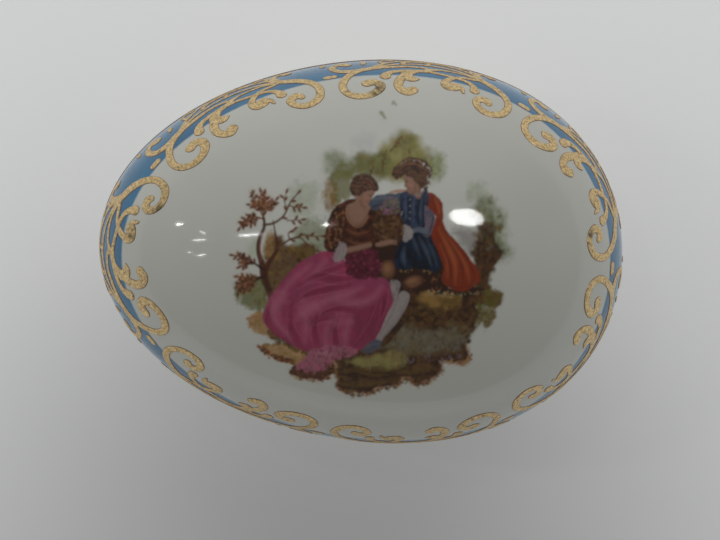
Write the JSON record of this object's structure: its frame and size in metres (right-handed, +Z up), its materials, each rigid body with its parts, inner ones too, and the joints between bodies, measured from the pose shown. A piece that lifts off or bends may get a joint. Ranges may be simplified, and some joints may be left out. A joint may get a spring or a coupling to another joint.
{
  "type": "porcelain trinket box",
  "caption": "Egg-shaped porcelain trinket box with a lift-off domed lid over a bowl on an oval foot ring, blue and gilt scroll border and a painted garden scene.",
  "frame": {"origin": "middle of the outline on the surface that the foot ring stands on", "axes": "+Z up out of the foot, +X along the egg towards its blunter end, +Y across it, which is the top of the painted scene"},
  "size_m": [0.11, 0.0806, 0.0729],
  "materials": {
    "base_glaze": "glossy white glaze with a blue border",
    "lid_glaze": "glossy white glaze with a blue border and a painted scene"
  },
  "bodies": {
    "base": {"base": "base_glaze"},
    "lid": {"lid": "lid_glaze"}
  },
  "joints": [
    {"name": "lid_lift", "type": "slide", "parent": "base", "child": "lid", "axis": [0, 0, 1], "range_m": [0, 0.08]}
  ]
}
